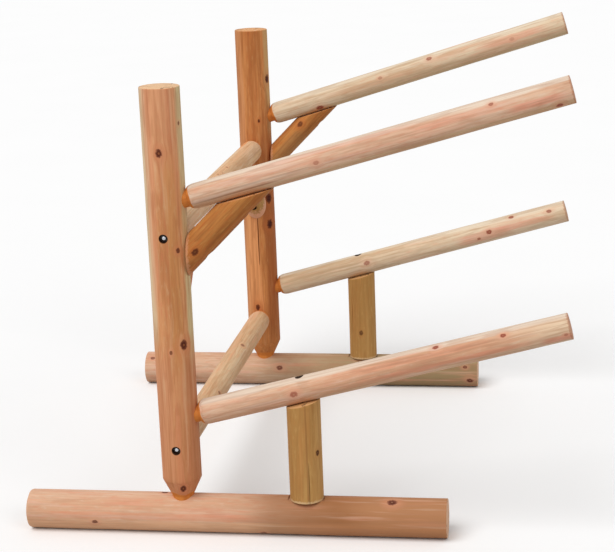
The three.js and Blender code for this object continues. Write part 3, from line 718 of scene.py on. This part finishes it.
for name, settings in braces.items():
    outward = settings["outward"]
    along = (outward + alongZ).normalized()
    foot = settings["foot"] + outward * (postFace + brace["gap"]) + alongZ * settings["height"]
    place = placing(foot, along, alongZ.cross(outward))
    log = growLog(name + "_log", place, [(-0.06, settings["radius"]), (0.40, settings["radius"])],
                  brace["sides"], brace["step"])
    peel(log, place, 0.0013, 0.028, 8, settings["seed"])
    saw(log, foot, -outward, brace["footEase"])
    point, normal = undersideOf(settings)
    saw(log, point - normal * brace["gap"], normal)
    bores = [counterbore(log, name + joint) for joint in ("_foot_lag", "_top_lag")]
    look = lookOf(place, settings["radius"], settings, bores=bores,
                  rims=[(foot, outward, settings["rimWidth"], brace["footRim"], settings["rimShare"])])
    finishLog(log, cedarMaterial(name + "_cedar", look), name, "brace_cedar")

print("struts")
strut = {"radius": 0.0484, "reach": 0.359, "seat": 0.106, "gap": 0.0003, "sides": 60, "step": 0.011,
         "footEase": 0.005, "footRim": rgb(226, 194, 150)}
struts = {
    # both struts take the strut tone, darkened as painted shadow
    "front_arm_strut": {"foot": frontFoot, "under": "lower_front_arm", "tone": "strut", "seed": 16.3,
                        "contrast": 0.55, "checks": [(0.050, -71, 0.075, 0.0008, 0.010)],
                        "streaks": [(-0.10, 0.40, -76, 3, rgb(142, 98, 54), 0.5),
                                    (-0.10, 0.40, -16, 30, rgb(206, 160, 98), 0.6)],
                        "knots": [(0.147, -34, 0.0065, 1.0), (0.200, 120, 0.007, 0.8)]},
    "rear_arm_strut": {"foot": rearFoot, "under": "lower_rear_arm", "tone": "strut", "seed": 17.8,
                       "contrast": 0.55, "checks": [(0.160, -130, 0.060, 0.0010, 0.012)],
                       "knots": [(0.100, -90, 0.007, 0.8)]},
}
for name, settings in struts.items():
    start = settings["foot"] + Vector((strut["reach"], 0, strut["seat"] + strut["gap"]))
    place = placing(start, alongZ, alongY)
    log = growLog(name + "_log", place, [(-0.02, strut["radius"]), (0.40, strut["radius"])],
                  strut["sides"], strut["step"])
    peel(log, place, 0.0014, 0.03, 8, settings["seed"])
    splitAlong(log, place, strut["radius"], settings["checks"])
    saw(log, start, -alongZ, strut["footEase"])
    point, normal = undersideOf(settings)
    saw(log, point - normal * strut["gap"], normal)
    look = lookOf(place, strut["radius"], settings,
                  rims=[(start, alongZ, 0.008, strut["footRim"], 0.6)])
    finishLog(log, cedarMaterial(name + "_cedar", look), name, "strut_cedar")


print("screws")


def zincMaterial(name, look):
    shader = Shader(name)
    local = shader.node("TexCoord")["Object"]
    spangle = shader.node("TexVoronoi", None, {"Vector": local, "Scale": 900.0})["Color"]
    tone = shader.node("SeparateColor", None, {0: spangle})[0]
    smear = shader.noise(local, 220, 3.0)
    surface = shader.node("BsdfPrincipled", None, {
        "Base Color": shader.mix(tone * 0.5 + smear * 0.3, look["dark"], look["light"]), "Metallic": 1.0,
        "Roughness": smear.between(0.3, 0.7, *look["roughness"])})[0]
    shader.node("OutputMaterial", None, {0: surface})
    return shader.material


zincHead = zincMaterial("zinc_head", {"dark": rgb(176, 178, 182), "light": rgb(206, 208, 212),
                                      "roughness": (0.08, 0.18)})
# the washers are near-black zinc, a painted shade for the counterbore they sit in; the heads keep bright zinc
shadeDarkWasher = zincMaterial("zinc_washer", {"dark": rgb(60, 58, 56), "light": rgb(88, 86, 84),
                                          "roughness": (0.35, 0.50)})
lag = {"headRadius": 0.00826, "crown": 0.0098, "neck": 0.002, "shank": 0.00475, "core": 0.0038,
       "plainShare": 0.4, "pitch": 0.0036, "threadSteps": 18, "runOut": 0.006, "point": 0.008}
washer = {"outer": 0.011, "inner": 0.00535, "thickness": 0.002, "ease": 0.0003}


def modelLag(length):                          # head outwards at the origin, point along +Z
    deselectAll()
    bpy.ops.mesh.primitive_cylinder_add(vertices=6, radius=lag["headRadius"], depth=screw["headHeight"],
                                        location=(0, 0, screw["headHeight"] / 2))
    whole = bpy.context.object
    bpy.ops.mesh.primitive_uv_sphere_add(segments=72, ring_count=72, radius=lag["crown"],
                                         location=(0, 0, lag["crown"]))
    crown = bpy.context.object
    makeActive(whole)
    trim = whole.modifiers.new("crown", "BOOLEAN")
    trim.operation = "INTERSECT"
    trim.object = crown
    bpy.ops.object.modifier_apply(modifier=trim.name)
    bpy.data.objects.remove(crown)

    plainEnd = length * lag["plainShare"]
    shank = growLog("shank", Matrix(), [
        (screw["headHeight"] - lag["neck"], lag["shank"]), (plainEnd, lag["shank"]),
        (plainEnd + lag["shank"] - lag["core"], lag["core"]), (length - lag["point"], lag["core"]),
        (length, 0.0002)], 24, 1.0)

    # one thread profile, wound down the core
    half = lag["pitch"] / 2
    profile = bpy.data.meshes.new("thread")
    depth = lag["core"] - 0.0004
    profile.from_pydata([(depth, 0, -half * 0.7), (lag["shank"], 0, 0), (depth, 0, half * 0.7)],
                        [(0, 1), (1, 2), (2, 0)], [])
    thread = bpy.data.objects.new("thread", profile)
    bpy.context.collection.objects.link(thread)
    makeActive(thread)
    thread.location = (0, 0, plainEnd + lag["pitch"])
    wind = thread.modifiers.new("wind", "SCREW")
    wind.screw_offset = lag["pitch"]
    wind.iterations = int((length - lag["runOut"] - lag["point"] - plainEnd) / lag["pitch"])
    wind.steps = wind.render_steps = lag["threadSteps"]
    bpy.ops.object.modifier_apply(modifier=wind.name)
    bpy.ops.object.mode_set(mode="EDIT")
    bpy.ops.mesh.select_all(action="SELECT")
    bpy.ops.mesh.fill_holes(sides=4)
    bpy.ops.mesh.normals_make_consistent(inside=False)
    bpy.ops.object.mode_set(mode="OBJECT")

    makeActive(whole)
    shank.select_set(True)
    thread.select_set(True)
    bpy.ops.object.join()
    bpy.ops.object.transform_apply(location=True, rotation=True, scale=True)
    return whole


def modelWasher():                             # flat ring with eased edges, axis along Z
    deselectAll()
    bpy.ops.mesh.primitive_cylinder_add(vertices=48, radius=washer["outer"], depth=washer["thickness"])
    ring = bpy.context.object
    bpy.ops.object.mode_set(mode="EDIT")
    bpy.ops.mesh.select_mode(type="FACE")
    bpy.ops.mesh.select_all(action="DESELECT")
    bpy.ops.object.mode_set(mode="OBJECT")
    for polygon in ring.data.polygons:
        polygon.select = abs(polygon.normal.z) > 0.9
    bpy.ops.object.mode_set(mode="EDIT")
    bpy.ops.mesh.inset(thickness=washer["outer"] - washer["inner"])
    bpy.ops.mesh.bridge_edge_loops()
    bpy.ops.object.mode_set(mode="OBJECT")
    ease = ring.modifiers.new("ease", "BEVEL")
    ease.width = washer["ease"]
    ease.segments = 2
    bpy.ops.object.modifier_apply(modifier=ease.name)
    return ring


def placeCopy(source, name, place, node, material):
    copy = source.copy()
    copy.data = source.data.copy()
    copy.name = name
    bpy.context.collection.objects.link(copy)
    copy.matrix_world = place
    makeActive(copy)
    bpy.ops.object.transform_apply(location=True, rotation=True, scale=True)
    copy.data.materials.clear()
    copy.data.materials.append(material)
    bpy.ops.object.shade_smooth_by_angle(angle=radians(30))
    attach(copy, "root")
    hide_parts(node)


lagModels = {}
washerModel = modelWasher()
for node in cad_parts:
    if not node.endswith("_lag"):
        continue
    head, tip = screwLine(node)
    inward = tip - head
    place = Matrix.Translation(head) @ inward.to_track_quat("Z", "Y").to_matrix().to_4x4()
    length = round(inward.length, 3)
    if length not in lagModels:
        lagModels[length] = modelLag(length)
    placeCopy(lagModels[length], node + "_screw", place, node, zincHead)
    washerNode = node[:-4] + "_washer"
    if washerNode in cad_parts:
        depth = screw["headHeight"] + screw["rise"] + washer["thickness"] / 2
        placeCopy(washerModel, washerNode + "_ring", place @ Matrix.Translation((0, 0, depth)), washerNode,
                  shadeDarkWasher)
for model in (washerModel, *lagModels.values()):
    bpy.data.objects.remove(model)


print("studio")
studio = {
    "floor": 80.0, "paper": (rgb(253, 253, 253), rgb(255, 255, 255)), "bounce": rgb(200, 199, 198),
    "suns": {"key": (1.68, 42, (-0.55, -0.75, 1.25)), "fill": (0.35, 26, (0.9, -0.8, 0.8))},
    "sky": 0.50,
}

deselectAll()
bpy.ops.mesh.primitive_plane_add(size=studio["floor"])
floor = bpy.context.object
floor.name = "floor"
paper = Shader("paper")
mottle = paper.noise(paper.node("TexCoord")["Object"], 1.5, 2.0)
seen = paper.mix(mottle, *studio["paper"])
path = paper.node("LightPath")
direct = path["Is Camera Ray"].larger(path["Is Glossy Ray"]).larger(path["Is Transmission Ray"])
paperTone = paper.mix(direct, studio["bounce"], seen)         # a floor that throws less light back up
paperSurface = paper.node("BsdfPrincipled", None, {"Base Color": paperTone, "Roughness": 0.9,
                                                   "Specular IOR Level": 0.0})[0]
paper.node("OutputMaterial", None, {0: paperSurface})
floor.data.materials.append(paper.material)

for name, (strength, angle, towards) in studio["suns"].items():
    lamp = bpy.data.lights.new(name, "SUN")
    lamp.energy = strength
    lamp.angle = radians(angle)
    holder = bpy.data.objects.new(name, lamp)
    holder.location = towards
    holder.rotation_euler = Vector(towards).to_track_quat("Z", "Y").to_euler()
    bpy.context.collection.objects.link(holder)

world = bpy.data.worlds.new("world")
bpy.context.scene.world = world
world.use_nodes = True
sky = world.node_tree
sky.nodes.clear()
path = sky.nodes.new("ShaderNodeLightPath")
plain = sky.nodes.new("ShaderNodeBackground")
plain.inputs["Strength"].default_value = studio["sky"]
white = sky.nodes.new("ShaderNodeBackground")
white.inputs["Strength"].default_value = 1.0
for light in (plain, white):
    light.inputs["Color"].default_value = (1, 1, 1, 1)
choose = sky.nodes.new("ShaderNodeMixShader")
skyOut = sky.nodes.new("ShaderNodeOutputWorld")
seenRays = path.outputs["Is Camera Ray"]
for kind in ("Is Glossy Ray", "Is Transmission Ray"):
    either = sky.nodes.new("ShaderNodeMath")
    either.operation = "MAXIMUM"
    sky.links.new(seenRays, either.inputs[0])
    sky.links.new(path.outputs[kind], either.inputs[1])
    seenRays = either.outputs[0]
sky.links.new(seenRays, choose.inputs[0])
sky.links.new(plain.outputs[0], choose.inputs[1])
sky.links.new(white.outputs[0], choose.inputs[2])
sky.links.new(choose.outputs[0], skyOut.inputs[0])
bpy.context.scene.view_settings.view_transform = "Standard"
